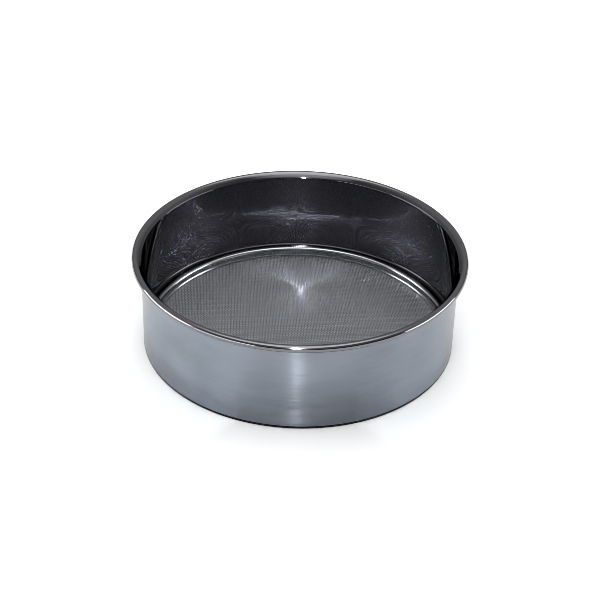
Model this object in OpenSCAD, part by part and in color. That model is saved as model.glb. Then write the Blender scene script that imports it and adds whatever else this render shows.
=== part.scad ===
// Round soil sieve: a sheet-metal hoop with a rolled rim, and a screen that lifts out of it.
// The screen is a disc of woven wire cloth gripped by a folded channel ring, and it rests on
// the lip that the foot of the hoop turns in.
// Origin: centre of the base, on the surface the sieve stands on. +Z points up.

/* [Hoop] */
// Outside diameter over the rolled rim
rim_d = 300; // [200:1:400]
// Overall height
height = 90; // [40:1:140]
// Thickness of the hoop's sheet
sheet = 0.7; // [0.5:0.1:1]
// Outside diameter of the rolled rim's tube
bead_d = 6.4; // [5:0.1:9]
// Gap between the roll's free edge and the flare
mouth_gap = 0.2; // [0.1:0.1:1]
// How far the wall flares out to meet the rolled rim
flare_w = 2.6; // [2:0.1:4]
// Slope of that flare, away from upright
flare_angle = 47; // [35:1:60]
// How far the lip reaches in from the inside of the wall
lip_w = 4.6; // [3:0.1:8]
// Outside radius of the bend between wall and lip
foot_r = 1.2; // [1.1:0.1:3]

/* [Hoop seam] */
// Direction of the seam where the strip's ends are welded, anticlockwise from +X
seam_angle = 8.4; // [0:0.1:359]
// Width of the notch that the seam leaves in the rolled rim
seam_gap = 0.9; // [0.3:0.1:3]

/* [Screen ring] */
// Gap between the ring and the inside of the wall
side_gap = 0.4; // [0.3:0.1:2]
// Gap between the ring and the lip that it rests on
rest_gap = 0.1; // [0.05:0.05:0.3]
// Width of the ring's folded section
ring_w = 6.4; // [5:0.1:9]
// Height of the ring's folded section
ring_h = 9.2; // [8:0.1:16]
// Thickness of the ring's sheet
ring_sheet = 0.6; // [0.4:0.1:0.7]
// Outside radius of the bend at the ring's foot
ring_foot_r = 1; // [0.8:0.1:1.5]
// Width of the fold that turns in from the ring's inside and lies on the cloth
ring_fold = 0.9; // [0.5:0.1:1.5]
// Direction of the ring's butt joint, anticlockwise from +X
joint_angle = 139.9; // [0:0.1:359]
// Gap between the ring's two ends
joint_gap = 0.5; // [0.1:0.1:2]

/* [Cloth] */
// Diameter of the cloth's wire; the cloth is two wires thick
wire_d = 0.5; // [0.3:0.05:0.7]
// Gap between the cloth's cut edge and the inside of the ring
cloth_gap = 0.3; // [0.1:0.1:1]

/* [Hidden] */
$fn = 180;

bead_r = bead_d / 2;
wall_in_r = rim_d / 2 - bead_d - flare_w;
wall_out_r = wall_in_r + sheet;
bead_z = height - bead_r;
bead_centre_r = rim_d / 2 - bead_r;
roll_r = bead_r - sheet / 2;
mouth_angle = acos((bead_r - sheet - mouth_gap) / bead_r);
flare_l = (flare_w + bead_r) / sin(flare_angle);
wall_top_z = bead_z - flare_w / tan(flare_angle) + roll_r * tan(flare_angle / 2);

ring_out_r = wall_in_r - side_gap;
ring_in_r = ring_out_r - ring_w;
ring_z = sheet + rest_gap;
arch_r = ring_w / 2;
arch_z = ring_z + ring_h - arch_r;
cloth_t = 2 * wire_d;
cloth_z = ring_z + ring_sheet;
joint_sweep = 2 * asin(joint_gap / 2 / ring_out_r);

// A quarter of a bent sheet's section: outside radius r, thickness t, its hollow side facing
// up and in, with the bend's centre at the origin.
module foot_bend(r, t) {
    intersection() {
        difference() {
            circle(r = r);
            circle(r = r - t);
        }
        translate([0, -r]) square(r);
    }
}

// The flare and the rolled rim in section, about the roll's centre. The roll starts where it
// is tangent to the flare, goes out over the top and comes back underneath, and stops short
// of the flare.
module rim() {
    rotate(-flare_angle) {
        translate([-bead_r, -flare_l]) square([sheet, flare_l]);
        difference() {
            circle(r = bead_r);
            circle(r = bead_r - sheet);
            polygon([[0, 0], [-bead_d, 0], [-bead_d, -bead_d * tan(mouth_angle)]]);
        }
    }
}

// Section of the hoop: lip, bend, wall, flare and rolled rim, one sheet throughout.
module hoop_section() {
    lip_r = wall_in_r - lip_w;
    translate([lip_r, 0]) square([wall_out_r - foot_r - lip_r, sheet]);
    translate([wall_out_r - foot_r, foot_r]) foot_bend(foot_r, sheet);
    translate([wall_in_r, foot_r]) square([sheet, wall_top_z - foot_r]);
    intersection() {
        translate([bead_centre_r, bead_z]) rim();
        translate([wall_in_r, 0]) square([2 * (bead_d + flare_w), 2 * height]);
    }
}

// Section of the channel ring. A sheet starts in a narrow fold on top of the cloth, arches over,
// comes down beside the wall and folds in under the cloth.
module channel_section() {
    cloth_top = cloth_z + cloth_t;
    translate([ring_in_r - ring_fold, cloth_top]) square([ring_fold + ring_sheet, ring_sheet]);
    translate([ring_in_r, cloth_top]) square([ring_sheet, arch_z - cloth_top]);
    translate([ring_in_r + arch_r, arch_z]) arch();
    translate([ring_out_r - ring_sheet, ring_z + ring_foot_r])
        square([ring_sheet, arch_z - ring_z - ring_foot_r]);
    translate([ring_out_r - ring_foot_r, ring_z + ring_foot_r])
        foot_bend(ring_foot_r, ring_sheet);
    translate([ring_in_r, ring_z]) square([ring_w - ring_foot_r, ring_sheet]);
}

// The channel ring's half-round top.
module arch() {
    difference() {
        circle(r = arch_r);
        circle(r = arch_r - ring_sheet);
        translate([-ring_w, -ring_w]) square([2 * ring_w, ring_w]);
    }
}

// What the seam's notch takes out of the rolled rim: all of the roll but its first turn up
// from the flare.
module notch() {
    start = sheet + mouth_gap / 2 - bead_r;
    rotate([0, flare_angle, 0]) translate([start, -seam_gap / 2, -1.05 * bead_r])
        cube([2 * bead_d, seam_gap, 2 * bead_d]);
}

// The hoop: one strip, rolled round and welded end to end, with the seam's notch in its rim.
module side_wall() {
    color([0.62, 0.64, 0.68]) difference() {
        rotate_extrude() hoop_section();
        rotate([0, 0, seam_angle]) translate([bead_centre_r, 0, bead_z]) notch();
    }
}

// The channel ring: one folded strip bent round until its ends all but meet.
module screen_ring() {
    color([0.82, 0.83, 0.85])
        rotate_extrude(angle = 360 - joint_sweep, start = joint_angle + joint_sweep / 2)
            channel_section();
}

// The woven cloth, as the flat disc that its wires fill.
module mesh_cloth() {
    color([0.5, 0.51, 0.54]) translate([0, 0, cloth_z])
        cylinder(r = ring_out_r - ring_sheet - cloth_gap, h = cloth_t);
}

side_wall();
screen_ring();
mesh_cloth();
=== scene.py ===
"""The looks of a round soil sieve: a steel hoop, and a lift-out screen of woven wire in a ring."""

import math

import bpy
import numpy as np
from mathutils import Matrix, Vector


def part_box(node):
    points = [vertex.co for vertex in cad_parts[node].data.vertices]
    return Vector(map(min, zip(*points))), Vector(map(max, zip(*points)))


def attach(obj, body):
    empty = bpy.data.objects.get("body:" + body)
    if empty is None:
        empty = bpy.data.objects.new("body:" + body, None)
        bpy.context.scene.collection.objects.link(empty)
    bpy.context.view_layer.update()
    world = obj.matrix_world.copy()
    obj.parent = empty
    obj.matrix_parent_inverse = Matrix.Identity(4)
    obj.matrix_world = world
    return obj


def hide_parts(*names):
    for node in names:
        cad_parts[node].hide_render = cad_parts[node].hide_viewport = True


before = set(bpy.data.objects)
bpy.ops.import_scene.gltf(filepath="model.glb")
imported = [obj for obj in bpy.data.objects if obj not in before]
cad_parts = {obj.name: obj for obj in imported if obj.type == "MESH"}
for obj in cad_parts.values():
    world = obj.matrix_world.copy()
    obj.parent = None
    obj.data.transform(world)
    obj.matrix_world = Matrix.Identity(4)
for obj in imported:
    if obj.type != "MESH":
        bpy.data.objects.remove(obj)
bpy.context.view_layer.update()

# Hoop, in metres and radians
HOOP_SHEET = 0.0007
BEAD_D = 0.0064
MOUTH_GAP = 0.0002
FLARE_W = 0.0026
FLARE_ANGLE = math.radians(47)
FLARE_R = 0.0007
LIP_W = 0.0046
FOOT_R = 0.0012
# Height of the painted shade along the foot: a near-black band that stands in for the floor's
# contact shadow mirrored in the foot's bend
PAINTED_FOOT_SHADE_TOP = 0.0028

# Screen ring, in metres
RING_SHEET = 0.0006
RING_W = 0.0064
RING_FOOT_R = 0.001
RING_FOLD = 0.0009
RING_FOLD_R = 0.0004

# Longest pieces of a section: turn of a bend in radians, and lengths in metres
BEND_STEP = math.radians(9)
FINE_STEP = 0.0005
SHORT_STEP = 0.001
MIDDLE_STEP = 0.0015
LIP_STEP = 0.002
WALL_STEP = 0.003

# How many directions round the axis the sheets are cut at
HOOP_TURNS = 480
RING_TURNS = 420

# Seam of the hoop and butt joint of the ring, as directions anticlockwise from +X
SEAM_ANGLE = math.radians(8.4)
SEAM_GAP = 0.0009
# Extra cuts beside the seam, in radians from it, so that the weld's ridge is smooth
SEAM_CUTS = (-0.016, -0.012, -0.009, -0.006, 0.006, 0.009, 0.012, 0.016)
# The seam's notch starts where the sheet has turned this far into the roll, and lies within
# this many bead diameters of the top
NOTCH_START = math.radians(25)
NOTCH_DEPTH = 1.1
JOINT_ANGLE = math.radians(139.9)
JOINT_GAP = 0.0005

# Slight waves of the wall: depth in metres, number round the hoop, radians a metre up, phase
WAVES = ((0.00004, 3, 0, 1), (0.00003, 7, 40, 0))
# Fine dents of the wall: the same without a phase, and the bands up the wall that hold them
DENTS = (0.000012, 23, -60)
DENT_BANDS = 90
DENT_PHASE = 2
# Over what height waves and dents fade in, and the height at the top that stays true
FADE_IN = 0.02
TRUE_TOP = 0.011
# Weld across the wall: depth, half width, and ripples along it in radians a metre
WELD_DEPTH = 0.00005
WELD_W = 0.0011
WELD_RIPPLES = 900

# Woven cloth: distance from one wire's middle to the next in metres, and turn about +Z
PITCH = 0.0014
CLOTH_TURN = math.radians(3.5)
# Half a wire's straight part at a crossing, and the least end past its last one, in pitches
FLAT = 0.22
CUT_END = 0.3
# Number of objects that share the wires of one direction, and sides of a wire's tube
BUNDLES = 5
WIRE_SIDES = 6

# Turn between two faces from which their edge is drawn sharp
SHARP = math.radians(40)
WIRE_SHARP = math.radians(75)

# Materials of a sheet, by index; the last two are the hoop's only: a lighter copy of the polished
# steel on the rim, painted light, and a near-black band along the foot, painted shade
INSIDE, OUTSIDE, RIM, PAINTED_FOOT_SHADE = range(4)

# Painted dark reflection on the front, a dull spot that stands in for something dark mirrored in the
# wall: its middle, and where it starts and stops to fade, in metres
PAINTED_DARK_REFLECTION = (0.042, -0.136, 0.016)
PAINTED_DARK_REFLECTION_R = (0.012, 0.05)

# Camera, fitted to the view: lens and sensor in millimetres, angles in radians, the shift in
# parts of the sensor, and the rest in metres
LENS = 92.7
SENSOR = 36.0
DISTANCE = 1.4045
PITCH_DOWN = math.radians(33.42)
ROLL = math.radians(1.55)
AIM = Vector((0, 0, 0.04))
SHIFT_X = 0.0015
SHIFT_Y = -0.0042
CLIP_START = 0.05

# Studio: (sine of the elevation, brightness) of the sky behind and in front, how far the two
# blend into each other, and the brightness of the backdrop that the camera sees
SKY_BEHIND = ((0.0, 0.15), (0.2, 0.3), (0.5, 0.45), (0.8, 0.45), (0.9, 1.8), (1.0, 2.2))
SKY_FRONT = ((0.0, 0.03), (0.3, 0.05), (0.45, 0.2), (0.86, 0.2), (0.92, 1.9), (1.0, 2.6))
SKY_BLEND = 0.25
BACKDROP = 0.97
FLOOR_HALF = 6.0
# Card that shades the hoop's front: half its width, its gap to the rim, and its ends in height
FLAG_HALF = 0.05
FLAG_GAP = 0.006
FLAG_FOOT = 0.001
FLAG_RISE = 0.004
# Width of the render's pixel filter: narrow, so that single wires stay crisp
PIXEL_FILTER = 0.7


# ---------------------------------------------------------------- sections

class Section:
    """A sheet's section, drawn as a path of its middle with a direction at every point."""

    def __init__(self, r, z, heading):
        self.r, self.z, self.heading = r, z, heading
        self.points = [(r, z, heading)]

    def line(self, length, step):
        """Goes straight on, in pieces no longer than the step."""
        pieces = max(1, math.ceil(length / step))
        for _ in range(pieces):
            self.r += length / pieces * math.cos(self.heading)
            self.z += length / pieces * math.sin(self.heading)
            self.points.append((self.r, self.z, self.heading))

    def arc(self, radius, turn):
        """Bends by the turn, to the left where it is positive."""
        side = 1 if turn > 0 else -1
        pieces = max(2, math.ceil(abs(turn) / BEND_STEP))
        centre_r = self.r - side * radius * math.sin(self.heading)
        centre_z = self.z + side * radius * math.cos(self.heading)
        for _ in range(pieces):
            self.heading += turn / pieces
            self.r = centre_r + side * radius * math.sin(self.heading)
            self.z = centre_z - side * radius * math.cos(self.heading)
            self.points.append((self.r, self.z, self.heading))

    def sides(self, thickness):
        """The points of the left and the right face, as an array of [side, point, (r, z)]."""
        path = np.array(self.points)
        normal = np.stack([-np.sin(path[:, 2]), np.cos(path[:, 2])], axis=1)
        return np.stack([path[:, :2] + normal * thickness / 2, path[:, :2] - normal * thickness / 2])


def hoop_section(rim_r, height):
    """Lip, bend, wall, flare and rolled rim; the left face is the inside of the wall."""
    roll_r = BEAD_D / 2 - HOOP_SHEET / 2
    bead_z = height - BEAD_D / 2
    wall_mid_r = rim_r - BEAD_D - FLARE_W + HOOP_SHEET / 2
    lean = 1 - math.cos(FLARE_ANGLE)
    drop = FLARE_W * math.cos(FLARE_ANGLE) + (FLARE_R - roll_r) * lean
    drop /= math.sin(FLARE_ANGLE)
    flare_l = (FLARE_W + (roll_r - FLARE_R) * lean) / math.sin(FLARE_ANGLE)
    mouth = math.acos((BEAD_D / 2 - HOOP_SHEET - MOUTH_GAP) / (BEAD_D / 2))
    foot_mid_r = FOOT_R - HOOP_SHEET / 2
    lip_r = wall_mid_r - HOOP_SHEET / 2 - LIP_W
    section = Section(lip_r, HOOP_SHEET / 2, 0)
    section.line(wall_mid_r - foot_mid_r - lip_r, LIP_STEP)
    section.arc(foot_mid_r, math.pi / 2)
    # The section is cut where the painted foot shade ends
    section.line(PAINTED_FOOT_SHADE_TOP - section.z, SHORT_STEP)
    section.line(bead_z - drop - section.z, WALL_STEP)
    section.arc(FLARE_R, -FLARE_ANGLE)
    section.line(flare_l, MIDDLE_STEP)
    section.arc(roll_r, mouth - 2 * math.pi)
    return section


def ring_section(out_r, low, high, cloth_top):
    """The ring: a narrow fold on the cloth, up, over the arch, down beside the wall, and under."""
    arch_r = RING_W / 2 - RING_SHEET / 2
    foot_mid_r = RING_FOOT_R - RING_SHEET / 2
    in_mid_r = out_r - RING_W + RING_SHEET / 2
    section = Section(in_mid_r - RING_SHEET / 2 - RING_FOLD, cloth_top + RING_SHEET / 2, 0)
    section.line(RING_FOLD + RING_SHEET / 2 - RING_FOLD_R, FINE_STEP)
    section.arc(RING_FOLD_R, math.pi / 2)
    section.line(high - RING_W / 2 - section.z, SHORT_STEP)
    section.arc(arch_r, -math.pi)
    section.line(section.z - low - RING_FOOT_R, SHORT_STEP)
    section.arc(foot_mid_r, -math.pi / 2)
    section.line(RING_W - RING_FOOT_R, MIDDLE_STEP)
    return section


# ---------------------------------------------------------------- sheets

def azimuths_around(gap_angle, gap_width, radius, count):
    """Directions all the way round, with one cell exactly as wide as the gap at its place."""
    half = math.asin(gap_width / 2 / radius)
    return np.linspace(gap_angle + half, gap_angle + 2 * math.pi - half, count)


def strip_faces(index, present):
    """Quads of a turned sheet, and a material for each: INSIDE on the left face, else OUTSIDE."""
    following = np.roll(index, -1, axis=2)
    left, right = index[0], index[1]
    next_left, next_right = following[0], following[1]
    low = np.pad(present, ((1, 0), (0, 0)))[:-1]
    high = np.pad(present, ((0, 1), (0, 0)))[1:]
    before = np.roll(present, 1, axis=1)
    after = np.roll(present, -1, axis=1)
    groups = (
        ((left[:-1], left[1:], next_left[1:], next_left[:-1]), present),
        ((right[:-1], next_right[:-1], next_right[1:], right[1:]), present),
        ((left[:-1], next_left[:-1], next_right[:-1], right[:-1]), present & ~low),
        ((left[1:], right[1:], next_right[1:], next_left[1:]), present & ~high),
        ((left[:-1], right[:-1], right[1:], left[1:]), present & ~before),
        ((next_left[:-1], next_left[1:], next_right[1:], next_right[:-1]), present & ~after),
    )
    quads = [np.stack(corners, axis=-1)[cells].reshape(-1, 4) for corners, cells in groups]
    materials = np.full(sum(len(part) for part in quads), OUTSIDE)
    materials[:len(quads[0])] = INSIDE
    return np.concatenate(quads), materials


def turned_sheet(name, section, thickness, azimuths, present, shift=None):
    """A sheet's section turned round +Z. present[i, j] says which cells of the strip are there."""
    sides = section.sides(thickness)
    points, turns = sides.shape[1], len(azimuths)
    angle = np.asarray(azimuths)[None, None, :]
    radius = np.repeat(sides[:, :, 0, None], turns, axis=2)
    level = np.repeat(sides[:, :, 1, None], turns, axis=2)
    if shift is not None:
        radius = radius + shift(level, angle)
    places = np.stack([radius * np.cos(angle), radius * np.sin(angle), level], axis=3)
    index = np.arange(2 * points * turns).reshape(2, points, turns)
    faces, materials = strip_faces(index, present)
    used, renumbered = np.unique(faces, return_inverse=True)
    return mesh_object(name, places.reshape(-1, 3)[used], renumbered.reshape(-1, 4), materials)


def mesh_object(name, vertices, faces, materials=None, sharp=SHARP):
    """A smooth-shaded object, with sharp edges where faces meet at more than the angle."""
    mesh = bpy.data.meshes.new(name)
    mesh.vertices.add(len(vertices))
    mesh.vertices.foreach_set("co", np.asarray(vertices, np.float32).ravel())
    mesh.loops.add(faces.size)
    mesh.loops.foreach_set("vertex_index", faces.astype(np.int32).ravel())
    mesh.polygons.add(len(faces))
    starts = np.arange(0, faces.size, faces.shape[1], dtype=np.int32)
    mesh.polygons.foreach_set("loop_start", starts)
    if materials is not None:
        mesh.polygons.foreach_set("material_index", materials.astype(np.int32))
    mesh.update(calc_edges=True)
    mesh.validate()
    mesh.polygons.foreach_set("use_smooth", np.ones(len(faces), bool))
    mesh.set_sharp_from_angle(angle=sharp)
    piece = bpy.data.objects.new(name, mesh)
    bpy.context.scene.collection.objects.link(piece)
    return piece


def hoop_azimuths(rim_r):
    """Directions round the hoop, closer together beside the seam."""
    azimuths = azimuths_around(SEAM_ANGLE, SEAM_GAP, rim_r - BEAD_D / 2, HOOP_TURNS)
    extra = SEAM_ANGLE + np.array(SEAM_CUTS)
    extra = np.where(extra < azimuths[0], extra + 2 * math.pi, extra)
    return np.unique(np.concatenate([azimuths, extra]))


def wall_shift(rim_r, height):
    """How far the wall's sheet stands off a true cylinder: slight waves, dents and the weld."""

    def shift(level, angle):
        from_foot = np.clip(level / FADE_IN, 0, 1)
        from_top = np.clip((height - TRUE_TOP - level) / FADE_IN, 0, 1)
        waves = 0
        for depth, count, up, phase in WAVES:
            waves = waves + depth * np.sin(count * angle + up * level + phase)
        depth, count, up = DENTS
        bands = np.sin(DENT_BANDS * level + DENT_PHASE)
        waves = waves + depth * np.sin(count * angle + up * level) * bands
        off = (angle - SEAM_ANGLE + math.pi) % (2 * math.pi) - math.pi
        ridge = np.exp(-(off * rim_r / WELD_W) ** 2)
        weld = WELD_DEPTH * ridge * np.sin(level * WELD_RIPPLES) ** 2
        return from_foot * from_top * (waves - weld)

    return shift


def mark_hoop(hoop, rim_r, height):
    """Gives the rolled rim a lighter copy of the polished steel, painted light, and the band along
    the foot a near-black material, painted shade.
    """
    for polygon in hoop.data.polygons:
        out = math.hypot(polygon.center.x, polygon.center.y)
        rolled = out > rim_r - BEAD_D and polygon.center.z > height - BEAD_D
        # Painted light: the rolled rim gets the lighter copy of the polished steel
        if polygon.material_index == INSIDE and rolled:
            polygon.material_index = RIM
        # Painted shade: the lowest band of the outside turns near-black
        if polygon.material_index == OUTSIDE and polygon.center.z < PAINTED_FOOT_SHADE_TOP:
            polygon.material_index = PAINTED_FOOT_SHADE


def make_hoop(rim_r, height):
    """The hoop, with the weld across its wall and the notch that the seam leaves in its rim."""
    section = hoop_section(rim_r, height)
    azimuths = hoop_azimuths(rim_r)
    points = np.array(section.points)
    present = np.ones((len(points) - 1, len(azimuths)), bool)
    high = points[:-1, 1] > height - NOTCH_DEPTH * BEAD_D
    past_start = points[:-1, 2] < math.pi / 2 - FLARE_ANGLE - NOTCH_START
    present[high & past_start, -1] = False
    shift = wall_shift(rim_r, height)
    hoop = turned_sheet("hoop", section, HOOP_SHEET, azimuths, present, shift)
    mark_hoop(hoop, rim_r, height)
    return hoop


def make_ring(ring_box, cloth_top):
    """The channel ring, with its two ends just short of meeting."""
    low, high = ring_box
    section = ring_section(high.x, low.z, high.z, cloth_top)
    azimuths = azimuths_around(JOINT_ANGLE, JOINT_GAP, high.x, RING_TURNS)
    present = np.ones((len(section.points) - 1, len(azimuths)), bool)
    present[:, -1] = False
    return turned_sheet("ring", section, RING_SHEET, azimuths, present)


# ---------------------------------------------------------------- cloth

def wire_path(k, radius, wire_r, lengthwise):
    """One wire of a plain weave: its place across, and its points along with their lift."""
    across = (k + 0.5) * PITCH
    reach = math.sqrt(radius ** 2 - across ** 2)
    last = int((reach - PITCH * CUT_END) / PITCH - 0.5)
    crossings = np.arange(-last - 1, last + 1)
    sign = np.where((crossings + k) % 2 == 0, 1.0, -1.0)
    sign = sign if lengthwise else -sign
    along = (crossings + 0.5) * PITCH
    along = np.stack([along - PITCH * FLAT, along + PITCH * FLAT], axis=1).ravel()
    lift = np.repeat(sign * wire_r, 2)
    along = np.concatenate([[-reach], along, [reach]])
    lift = np.concatenate([[0], lift, [0]])
    return across, along, lift


def wire_tube(across, along, lift, level, wire_r, lengthwise):
    """Vertices and quads of one wire, closed at both ends."""
    turn = (np.arange(WIRE_SIDES) + 0.5) * 2 * math.pi / WIRE_SIDES
    side = np.repeat(across + wire_r * np.cos(turn)[None, :], len(along), axis=0)
    run = np.repeat(along[:, None], WIRE_SIDES, axis=1)
    up = level + lift[:, None] + wire_r * np.sin(turn)[None, :]
    x, y = (run, side) if lengthwise else (side, run)
    c, s = math.cos(CLOTH_TURN), math.sin(CLOTH_TURN)
    vertices = np.stack([c * x - s * y, s * x + c * y, up], axis=-1).reshape(-1, 3)
    index = np.arange(len(along) * WIRE_SIDES).reshape(len(along), WIRE_SIDES)
    following = np.roll(index, -1, axis=1)
    quads = np.stack([index[:-1], following[:-1], following[1:], index[1:]], axis=-1)
    first, last = index[0], index[-1]
    ends = np.array([
        first[[0, 5, 4, 3]],
        first[[0, 3, 2, 1]],
        last[[0, 1, 2, 3]],
        last[[0, 3, 4, 5]],
    ])
    faces = np.concatenate([quads.reshape(-1, 4), ends])
    if lengthwise:
        faces = faces[:, ::-1]
    return vertices, faces[:, ::-1]


def wire_bundle(name, wires, level, wire_r, lengthwise):
    """Some neighbouring wires as one object."""
    vertices, faces, start = [], [], 0
    for across, along, lift in wires:
        places, quads = wire_tube(across, along, lift, level, wire_r, lengthwise)
        vertices.append(places)
        faces.append(quads + start)
        start += len(places)
    return mesh_object(name, np.concatenate(vertices), np.concatenate(faces), sharp=WIRE_SHARP)


def woven_wires(name, radius, level, wire_r, lengthwise):
    """One direction of a plain weave: wires that pass over and under the crossing ones."""
    count = int(radius / PITCH)
    numbers = [k for k in range(-count, count + 1) if abs(k + 0.5) * PITCH <= radius - PITCH]
    wires = [wire_path(k, radius, wire_r, lengthwise) for k in numbers]
    step = math.ceil(len(wires) / BUNDLES)
    bundles = []
    for number in range(BUNDLES):
        part = wires[number * step:(number + 1) * step]
        bundles.append(wire_bundle(f"{name}_{number + 1}", part, level, wire_r, lengthwise))
    return bundles


# ---------------------------------------------------------------- materials

class Nodes:
    """A material's node tree, with short ways to add and join nodes."""

    def __init__(self, name):
        self.material = bpy.data.materials.new(name)
        self.material.use_nodes = True
        self.tree = self.material.node_tree
        self.shader = self.tree.nodes["Principled BSDF"]

    def add(self, kind, **settings):
        """A new node, with its settings."""
        node = self.tree.nodes.new(kind)
        for name, value in settings.items():
            setattr(node, name, value)
        return node

    def join(self, source, target):
        """A link from a node's output to another's input."""
        self.tree.links.new(source, target)

    def math(self, operation, a, b=None):
        """A calculation with numbers or other nodes' outputs."""
        node = self.add("ShaderNodeMath", operation=operation)
        for socket, value in zip(node.inputs, (a, b)):
            if value is None:
                continue
            if isinstance(value, (int, float)):
                socket.default_value = value
            else:
                self.join(value, socket)
        return node.outputs[0]

    def place(self):
        """Where a point of the surface is, in metres from the object's origin."""
        return self.add("ShaderNodeTexCoord").outputs["Object"]

    def cylindrical(self, around, up):
        """Coordinates that run round the axis and up it, scaled as asked."""
        split = self.add("ShaderNodeSeparateXYZ")
        self.join(self.place(), split.inputs[0])
        angle = self.math("ARCTAN2", split.outputs["Y"], split.outputs["X"])
        join = self.add("ShaderNodeCombineXYZ")
        self.join(self.math("MULTIPLY", self.math("COSINE", angle), around), join.inputs["X"])
        self.join(self.math("MULTIPLY", self.math("SINE", angle), around), join.inputs["Y"])
        self.join(self.math("MULTIPLY", split.outputs["Z"], up), join.inputs["Z"])
        return join.outputs[0]

    def height(self):
        """How high a point of the surface is."""
        split = self.add("ShaderNodeSeparateXYZ")
        self.join(self.place(), split.inputs[0])
        return split.outputs["Z"]

    def distance(self, place):
        """How far a point of the surface is from a place."""
        node = self.add("ShaderNodeVectorMath", operation="DISTANCE")
        self.join(self.place(), node.inputs[0])
        node.inputs[1].default_value = place
        return node.outputs["Value"]

    def noise(self, vector, scale, detail):
        """Cloudy noise from 0 to 1."""
        node = self.add("ShaderNodeTexNoise")
        node.inputs["Scale"].default_value = scale
        node.inputs["Detail"].default_value = detail
        self.join(vector, node.inputs["Vector"])
        return node.outputs[0]

    def spread(self, value, low, high, source=(0.3, 0.7)):
        """A value moved from one range to another, and held inside it."""
        node = self.add("ShaderNodeMapRange")
        node.inputs["From Min"].default_value = source[0]
        node.inputs["From Max"].default_value = source[1]
        node.inputs["To Min"].default_value = low
        node.inputs["To Max"].default_value = high
        self.join(value, node.inputs["Value"])
        return node.outputs[0]

    def tint(self, value, low, high):
        """A colour between two, by a value from 0 to 1."""
        mix = self.add("ShaderNodeMix", data_type="RGBA")
        self.join(self.spread(value, 0, 1, (0, 1)), mix.inputs["Factor"])
        mix.inputs["A"].default_value = (*low, 1)
        mix.inputs["B"].default_value = (*high, 1)
        return mix.outputs["Result"]

    def bump(self, height, strength, distance):
        """Makes the surface look uneven."""
        node = self.add("ShaderNodeBump")
        node.inputs["Strength"].default_value = strength
        node.inputs["Distance"].default_value = distance
        self.join(height, node.inputs["Height"])
        self.join(node.outputs[0], self.shader.inputs["Normal"])


def satin_tone(n, grain, smears):
    """How bright the satin sheet is, from 0 to 1: darker low down, painted shade of the floor's
    contact shadow mirrored in the wall, and darker in a painted dark reflection on the front.
    """
    # Painted shade: the wall darkens over its lowest 6 cm, where it mirrors the floor's contact
    # shadow
    painted_shade_ramp = n.spread(n.height(), 0, 0.5, (0, 0.06))
    tone = n.math("ADD", painted_shade_ramp, n.spread(smears, 0, 0.4, (0.38, 0.62)))
    tone = n.math("ADD", tone, n.spread(grain, -0.1, 0.15))
    # Painted dark reflection: a dull spot on the front, right of the streak
    return n.math("ADD", tone, n.spread(n.distance(PAINTED_DARK_REFLECTION), -0.45, 0, PAINTED_DARK_REFLECTION_R))


def satin_steel():
    """Stainless sheet with a fine grain that runs round the hoop."""
    n = Nodes("satin_steel")
    s = n.shader.inputs
    s["Metallic"].default_value = 1.0
    s["Anisotropic"].default_value = 1.0
    s["Anisotropic Rotation"].default_value = 0.25
    tangent = n.add("ShaderNodeTangent", direction_type="RADIAL", axis="Z")
    n.join(tangent.outputs[0], s["Tangent"])
    # Fine lines round the hoop, and broad soft smears
    grain = n.noise(n.cylindrical(4, 420), 1.6, 5)
    smears = n.noise(n.cylindrical(0.14, 2.2), 11, 4)
    tone = satin_tone(n, grain, smears)
    n.join(n.tint(tone, (0.138, 0.154, 0.178), (0.26, 0.291, 0.336)), s["Base Color"])
    rough = n.math("ADD", n.spread(grain, 0.17, 0.23), n.spread(smears, 0.0, 0.05))
    n.join(rough, s["Roughness"])
    n.bump(grain, 0.22, 0.00005)
    return n.material


def polished_steel(name, base, rough):
    """Polished stainless sheet, with the faint waviness of a rolled strip."""
    n = Nodes(name)
    s = n.shader.inputs
    s["Base Color"].default_value = (*base, 1)
    s["Metallic"].default_value = 1.0
    cloud = n.noise(n.cylindrical(0.14, 1), 18, 2)
    n.join(n.spread(cloud, rough * 0.7, rough * 1.4), s["Roughness"])
    n.bump(n.noise(n.cylindrical(0.14, 0.5), 60, 1), 0.03, 0.0003)
    return n.material


def wire_steel():
    """Bright drawn wire."""
    n = Nodes("wire_steel")
    s = n.shader.inputs
    s["Base Color"].default_value = (0.195, 0.208, 0.232, 1)
    s["Metallic"].default_value = 1.0
    s["Roughness"].default_value = 0.24
    return n.material


def floor_material():
    """Matt, nearly white."""
    n = Nodes("pale_floor")
    n.shader.inputs["Base Color"].default_value = (0.97, 0.97, 0.97, 1)
    n.shader.inputs["Roughness"].default_value = 0.9
    n.shader.inputs["Specular IOR Level"].default_value = 0.0
    return n.material


# ---------------------------------------------------------------- pieces

def build_hoop():
    """The hoop, polished inside and on its rim, satin outside, and near-black along its foot as
    painted shade; the inside's steel is a darker copy for painted shade, the rim's a lighter one for
    painted light.
    """
    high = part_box("side_wall")[1]
    hoop = make_hoop(high.x, high.z)
    # One polished steel in two copies: darker inside the hoop for painted shade, lighter on the
    # rolled rim for painted light
    hoop.data.materials.append(polished_steel("polished_inside_painted_shade", (0.13, 0.128, 0.14), 0.035))
    hoop.data.materials.append(satin_steel())
    hoop.data.materials.append(polished_steel("polished_rim_painted_light", (0.2, 0.2, 0.215), 0.06))
    # Near-black steel along the foot: painted shade standing in for the contact shadow that the bend
    # mirrors
    hoop.data.materials.append(polished_steel("painted_foot_shade", (0.01, 0.01, 0.012), 0.3))
    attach(hoop, "hoop")
    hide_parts("side_wall")
    return hoop


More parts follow.
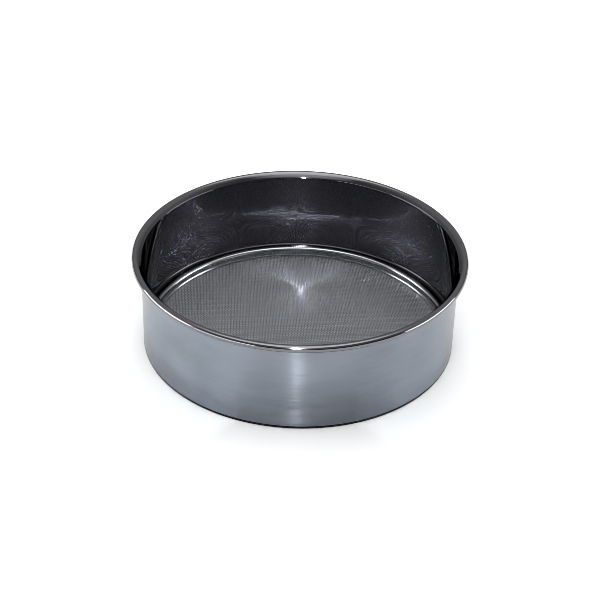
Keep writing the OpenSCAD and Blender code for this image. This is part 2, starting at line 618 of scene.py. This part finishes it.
def build_ring():
    """The screen ring, the same steel on both faces."""
    cloth_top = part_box("mesh_cloth")[1].z
    ring = make_ring(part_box("screen_ring"), cloth_top)
    steel = polished_steel("polished_ring", (0.5, 0.505, 0.52), 0.15)
    ring.data.materials.append(steel)
    ring.data.materials.append(steel)
    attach(ring, "screen")
    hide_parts("screen_ring")
    return ring


def build_cloth():
    """The wires of the cloth, which is two wires thick."""
    low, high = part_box("mesh_cloth")
    steel = wire_steel()
    wire_r = (high.z - low.z) / 4
    level = (high.z + low.z) / 2
    for name, lengthwise in (("warp", True), ("weft", False)):
        for bundle in woven_wires(name, high.x, level, wire_r, lengthwise):
            bundle.data.materials.append(steel)
            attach(bundle, "screen")
            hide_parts("mesh_cloth")


# ---------------------------------------------------------------- studio

def make_floor():
    """The pale ground that the sieve stands on."""
    size = FLOOR_HALF
    corners = np.array([(-size, -size, 0), (size, -size, 0), (size, size, 0), (-size, size, 0)])
    floor = mesh_object("floor", corners, np.array([[0, 1, 2, 3]]))
    floor.data.materials.append(floor_material())
    return floor


def make_flag():
    """A small card before the hoop that only keeps the key light off its front."""
    low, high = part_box("side_wall")
    y = low.y - FLAG_GAP
    top = high.z + FLAG_RISE
    corners = np.array([
        (-FLAG_HALF, y, FLAG_FOOT),
        (FLAG_HALF, y, FLAG_FOOT),
        (FLAG_HALF, y, top),
        (-FLAG_HALF, y, top),
    ])
    flag = mesh_object("flag", corners, np.array([[0, 1, 2, 3]]))
    flag.visible_camera = False
    flag.visible_diffuse = False
    flag.visible_glossy = False
    flag.visible_transmission = False
    return flag


def sky_ramp(tree, height, stops):
    """Brightness by the sine of the elevation."""
    ramp = tree.nodes.new("ShaderNodeValToRGB")
    tree.links.new(height, ramp.inputs["Fac"])
    ramp.color_ramp.elements[0].position = stops[0][0]
    ramp.color_ramp.elements[1].position = stops[-1][0]
    for place, _ in stops[1:-1]:
        ramp.color_ramp.elements.new(place)
    for element, (_, level) in zip(ramp.color_ramp.elements, stops):
        element.color = (level, level, level, 1)
    return ramp.outputs[0]


def mixed(tree, factor, a, b):
    """A colour mix of two outputs; b may also be one brightness."""
    mix = tree.nodes.new("ShaderNodeMix")
    mix.data_type = "RGBA"
    tree.links.new(factor, mix.inputs["Factor"])
    tree.links.new(a, mix.inputs["A"])
    if isinstance(b, float):
        mix.inputs["B"].default_value = (b, b, b, 1)
    else:
        tree.links.new(b, mix.inputs["B"])
    return mix.outputs["Result"]


def make_world():
    """A soft studio, darkest low down in front. The camera sees a plain pale backdrop instead."""
    world = bpy.data.worlds.new("studio")
    bpy.context.scene.world = world
    world.use_nodes = True
    world.cycles.sampling_method = "NONE"
    tree = world.node_tree
    coords = tree.nodes.new("ShaderNodeTexCoord")
    split = tree.nodes.new("ShaderNodeSeparateXYZ")
    tree.links.new(coords.outputs["Generated"], split.inputs[0])
    behind = sky_ramp(tree, split.outputs["Z"], SKY_BEHIND)
    front = sky_ramp(tree, split.outputs["Z"], SKY_FRONT)
    facing = tree.nodes.new("ShaderNodeMapRange")
    facing.inputs["From Min"].default_value = -SKY_BLEND
    facing.inputs["From Max"].default_value = SKY_BLEND
    tree.links.new(split.outputs["Y"], facing.inputs["Value"])
    studio = mixed(tree, facing.outputs[0], front, behind)
    camera_ray = tree.nodes.new("ShaderNodeLightPath").outputs["Is Camera Ray"]
    background = tree.nodes["Background"]
    tree.links.new(mixed(tree, camera_ray, studio, BACKDROP), background.inputs["Color"])
    background.inputs["Strength"].default_value = 1.0


def collection_of(name, pieces):
    """A collection for light linking."""
    collection = bpy.data.collections.new(name)
    for piece in pieces:
        collection.objects.link(piece)
    return collection


def add_light(name, azimuth, elevation, distance, size, radiance, shaded_by, lit=None):
    """A soft box that looks at the sieve from a direction, in degrees."""
    data = bpy.data.lights.new(name, "AREA")
    data.shape = "RECTANGLE"
    data.size, data.size_y = size
    data.energy = radiance * math.pi * size[0] * size[1]
    light = bpy.data.objects.new(name, data)
    bpy.context.scene.collection.objects.link(light)
    azimuth, elevation = math.radians(azimuth), math.radians(elevation)
    flat = distance * math.cos(elevation)
    rise = distance * math.sin(elevation)
    place = Vector((flat * math.cos(azimuth), flat * math.sin(azimuth), rise))
    light.location = place
    light.rotation_euler = (-place).to_track_quat("-Z", "Y").to_euler()
    light.visible_camera = False
    light.light_linking.blocker_collection = collection_of(name + "_shaded_by", shaded_by)
    if lit:
        light.light_linking.receiver_collection = collection_of(name + "_lit", lit)


def make_lights(hoop, ring, floor):
    """Lights for the hoop, for the ring, for everything or all but the hoop, and for the floor."""
    solids = [piece for piece in bpy.data.objects if piece.type == "MESH"]
    others = [piece for piece in solids if piece != hoop]
    # Name, azimuth, elevation, distance, (width, height), radiance, what shades it, what it lights
    add_light("key", -91.4, 34, 1.5, (0.05, 1.1), 900, [hoop, make_flag()], [hoop])
    add_light("strip", -90.0, 31, 1.5, (0.013, 0.9), 400, solids, [hoop])
    add_light("ring_left", 172, 20, 2.0, (1.0, 1.4), 7, [hoop], [ring])
    add_light("ring_right", 8, 20, 2.0, (1.0, 1.4), 7, [hoop], [ring])
    add_light("left_box", 180, 14, 2.0, (1.6, 0.42), 12, solids)
    add_light("right_box", 0, 14, 2.0, (1.6, 0.42), 9, solids)
    add_light("back_box", 90, 20, 2.0, (1.6, 0.45), 6, solids, others)
    add_light("corner_box", 225, 8, 2.0, (1.4, 0.4), 5, solids)
    add_light("floor_front", -90, 36, 3.0, (3.0, 1.6), 1.9, solids, [floor])
    add_light("floor_back", 90, 36, 3.0, (3.0, 1.6), 1.3, solids, [floor])


def make_camera():
    """The camera, turned about its own axis by the roll."""
    data = bpy.data.cameras.new("camera")
    data.sensor_width = SENSOR
    data.lens = LENS
    data.shift_x = SHIFT_X
    data.shift_y = SHIFT_Y
    data.clip_start = CLIP_START
    camera = bpy.data.objects.new("camera", data)
    bpy.context.scene.collection.objects.link(camera)
    forward = Vector((0, math.cos(PITCH_DOWN), -math.sin(PITCH_DOWN)))
    right = Vector((1, 0, 0))
    up = right.cross(forward)
    turned_right = right * math.cos(ROLL) + up * math.sin(ROLL)
    turned_up = up * math.cos(ROLL) - right * math.sin(ROLL)
    axes = Matrix((turned_right, turned_up, -forward)).transposed().to_4x4()
    camera.matrix_world = Matrix.Translation(AIM - forward * DISTANCE) @ axes
    bpy.context.scene.camera = camera


# ---------------------------------------------------------------- assembly

hoop = build_hoop()
ring = build_ring()
build_cloth()
floor = make_floor()
make_world()
make_lights(hoop, ring, floor)
make_camera()

# No glossy blur, so that the light gathered on the cloth stays sharp
bpy.context.scene.cycles.blur_glossy = 0
bpy.context.scene.cycles.filter_width = PIXEL_FILTER
bpy.context.scene.view_settings.view_transform = "Standard"
